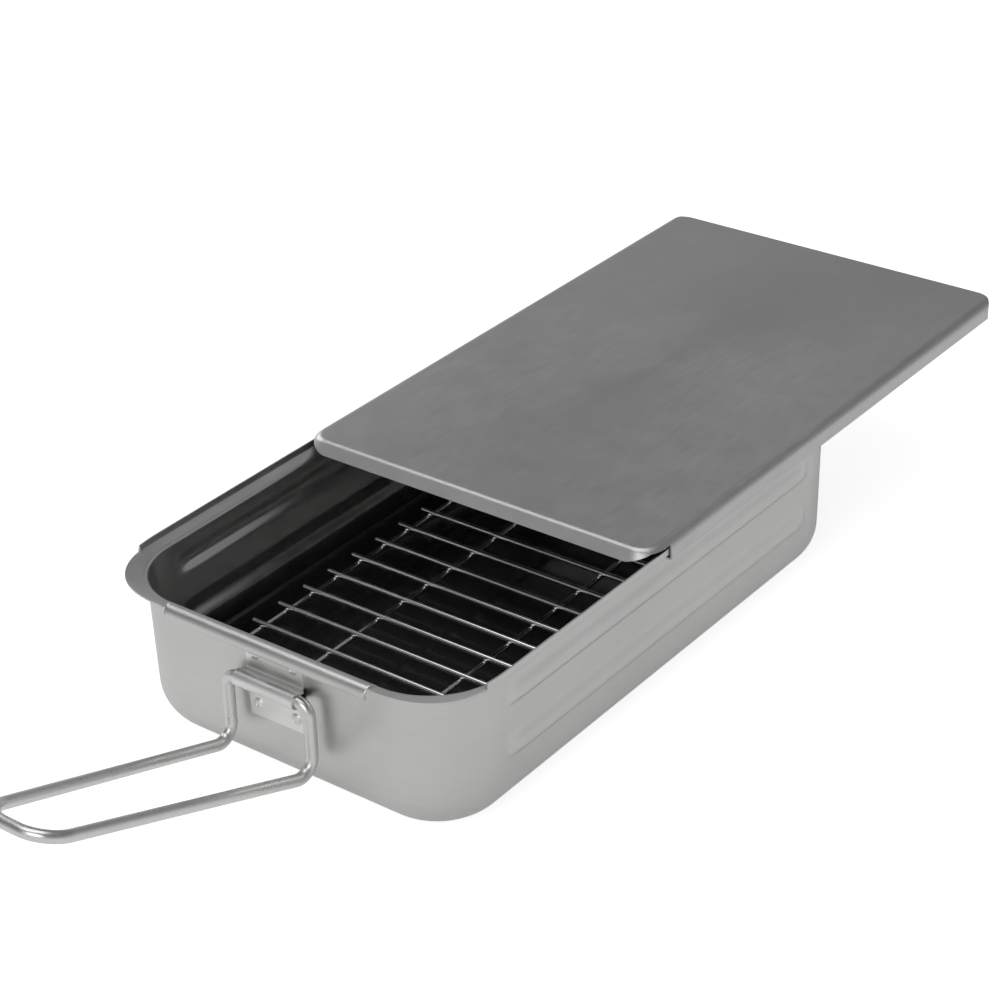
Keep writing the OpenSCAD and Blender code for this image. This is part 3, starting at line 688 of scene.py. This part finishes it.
def lid_mesh():
    """One closed sheet: the bent edge from rail end to rail end, and the flat top between."""
    places, m, lips = lid_places(), len(rail_path()), len(lip_path(0))
    n, points, faces = len(places), [], []
    for x, y, ox, oy, a, form in places:
        low, up = both_faces(lip_path(a) if form == "lip" else rail_path(), sheet)
        for face in (low, up):
            for j in range(m):
                u, z = face[min(j, len(face) - 1)]
                across = y + oy * u
                along = far_cut(across) if form == "far end" else x + ox * u
                points.append((lid_start + along, across, lid_top + z))

    def low(k, j):
        return 2 * m * k + j

    def top(k, j):
        return 2 * m * k + m + j

    for k in range(n - 1):
        c = lips if "lip" in (places[k][5], places[k + 1][5]) else m
        for j in range(c - 1):
            faces.append([low(k, j), low(k + 1, j), low(k + 1, j + 1), low(k, j + 1)])
            faces.append([top(k, j), top(k, j + 1), top(k + 1, j + 1), top(k + 1, j)])
        faces.append([low(k, c - 1), low(k + 1, c - 1), top(k + 1, c - 1), top(k, c - 1)])
    for k, first, order in ((1, lips - 1, 1), (n - 1, 0, 1), (n - 2, lips - 1, -1), (0, 0, -1)):
        for j in range(first, m - 1):
            faces.append([low(k, j), top(k, j), top(k, j + 1), low(k, j + 1)][::order])
    far_y = lid_half_w - lid_corner_r
    far_turn = math.asin((lid_half_w - roll_r - seam - far_y) / lid_corner_r)
    plan = []
    for side in (-1, 1):
        for k in (range(far_steps - 1, -1, -1) if side < 0 else range(far_steps)):
            y = far_y + lid_corner_r * math.sin(far_turn * k / far_steps)
            plan.append((lid_start + far_cut(y), side * y))
    first = len(points)
    points += [(x, y, lid_top - sheet) for x, y in plan] + [(x, y, lid_top) for x, y in plan]
    below = [low(n - 1, 0)] + [first + k for k in range(len(plan))] + [low(0, 0)]
    above = [top(n - 1, 0)] + [first + len(plan) + k for k in range(len(plan))] + [top(0, 0)]
    for k in range(len(below) - 1):
        faces.append([below[k], below[k + 1], above[k + 1], above[k]])
    faces.append([low(k, 0) for k in range(n)][::-1] + below[1:-1][::-1])
    faces.append([top(k, 0) for k in range(n)] + above[1:-1])
    return sheet_piece("lid_sheet", points, faces)


lid = lid_mesh()
lid_steel = satin_steel("satin_lid_steel", (0.56, 0.56, 0.565), 0.40, (60, 1300, 1300), 0.2, 0.1)
lid.data.materials.append(lid_steel)
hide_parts("lid")
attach(lid, "lid")

# ---- Floor and light ----
# A white floor under the pan and a studio of soft lamps round it. The floor glows, much for the
# camera, which sees it as white, and a little for the metal that mirrors it. It keeps the pan's shadow.
floor_size, floor_gap = 12, 0.0002
bpy.ops.mesh.primitive_plane_add(size=floor_size, location=(0, 0, -floor_gap))
floor = bpy.context.object
floor.name = "white_floor"
floor_paint = bpy.data.materials.new("white_floor_paint")
floor_paint.use_nodes = True
paint_nodes, paint_links = floor_paint.node_tree.nodes, floor_paint.node_tree.links
paint = paint_nodes["Principled BSDF"]
paint.inputs["Base Color"].default_value = (0.86, 0.86, 0.86, 1)
paint.inputs["Roughness"].default_value = 0.9
paint.inputs["Specular IOR Level"].default_value = 0
ray = paint_nodes.new("ShaderNodeLightPath")
glow = paint_nodes.new("ShaderNodeEmission")
camera_glow, mirrored_glow = 0.72, 0.2
seen = paint_nodes.new("ShaderNodeMath")
seen.operation = "MULTIPLY_ADD"
seen.inputs[1].default_value = camera_glow
lit = paint_nodes.new("ShaderNodeMath")
lit.operation = "MULTIPLY"
lit.inputs[1].default_value = mirrored_glow
both = paint_nodes.new("ShaderNodeAddShader")
paint_links.new(ray.outputs["Is Camera Ray"], seen.inputs[0])
paint_links.new(ray.outputs["Is Glossy Ray"], lit.inputs[0])
paint_links.new(lit.outputs["Value"], seen.inputs[2])
paint_links.new(seen.outputs["Value"], glow.inputs["Strength"])
paint_links.new(paint.outputs["BSDF"], both.inputs[0])
paint_links.new(glow.outputs["Emission"], both.inputs[1])
paint_links.new(both.outputs["Shader"], paint_nodes["Material Output"].inputs["Surface"])
floor.data.materials.append(floor_paint)


def soft_lamp(name, place, aim, width, height, watts):
    """A soft box that faces its aim."""
    data = bpy.data.lights.new(name, "AREA")
    data.shape = "RECTANGLE"
    data.size, data.size_y = width, height
    data.energy = watts
    lamp = bpy.data.objects.new(name, data)
    lamp.matrix_world = Matrix.Translation(place) @ (
        Vector(place) - Vector(aim)).to_track_quat("Z", "Y").to_matrix().to_4x4()
    bpy.context.scene.collection.objects.link(lamp)


soft_lamp("front_left_lamp", (-1.5, -0.5, 1.0), (0, 0, 0.03), 1.2, 1.2, 8)
soft_lamp("top_lamp", (-0.2, 0.3, 2.0), (0, 0, 0.03), 1.6, 1.6, 12)
soft_lamp("back_left_lamp", (0.4, 1.9, 1.0), (0, 0, 0.05), 1.2, 0.9, 8)

# The camera sees a plain white backdrop. The metal sees a room that's light low down and darker above.
world = bpy.data.worlds.new("studio")
bpy.context.scene.world = world
world.use_nodes = True
world_nodes, world_links = world.node_tree.nodes, world.node_tree.links
background = world_nodes["Background"]
heading = world_nodes.new("ShaderNodeTexCoord")
parts = world_nodes.new("ShaderNodeSeparateXYZ")
height = world_nodes.new("ShaderNodeValToRGB")
height.color_ramp.elements[0].position = 0.02
height.color_ramp.elements[0].color = (0.62, 0.62, 0.62, 1)
height.color_ramp.elements[1].position = 0.5
height.color_ramp.elements[1].color = (0.22, 0.22, 0.225, 1)
plain = world_nodes.new("ShaderNodeMix")
plain.data_type = "RGBA"
world_ray = world_nodes.new("ShaderNodeLightPath")
world_links.new(heading.outputs["Generated"], parts.inputs["Vector"])
world_links.new(parts.outputs["Z"], height.inputs["Fac"])
world_links.new(world_ray.outputs["Is Camera Ray"], plain.inputs["Factor"])
world_links.new(height.outputs["Color"], plain.inputs["A"])
plain.inputs["B"].default_value = (1, 1, 1, 1)
world_links.new(plain.outputs["Result"], background.inputs["Color"])
background.inputs["Strength"].default_value = 1.0

# ---- Camera ----
# It stands to the front and left of the pan and looks down on it, as the photograph's camera does.
heading_deg, height_deg, roll_deg, lens_mm = -52.12, 29.465, -1.8, 93.8
distance, aim = 1.0514, Vector((-0.0169, -0.0134, 0.0745))
a, e = math.radians(heading_deg), math.radians(height_deg)
back = Vector((math.sin(a) * math.cos(e), -math.cos(a) * math.cos(e), math.sin(e)))
level = Vector((math.cos(a), math.sin(a), 0))
turn = Matrix.Rotation(math.radians(roll_deg), 3, back)
right, up = turn @ level, turn @ back.cross(level)
camera_data = bpy.data.cameras.new("photo_camera")
camera_data.lens = lens_mm
camera_data.sensor_width = 36
camera = bpy.data.objects.new("photo_camera", camera_data)
camera.matrix_world = Matrix.Translation(aim + back * distance) @ Matrix(
    (right, up, back)).transposed().to_4x4()
bpy.context.scene.collection.objects.link(camera)
bpy.context.scene.camera = camera
bpy.context.scene.view_settings.view_transform = "Standard"
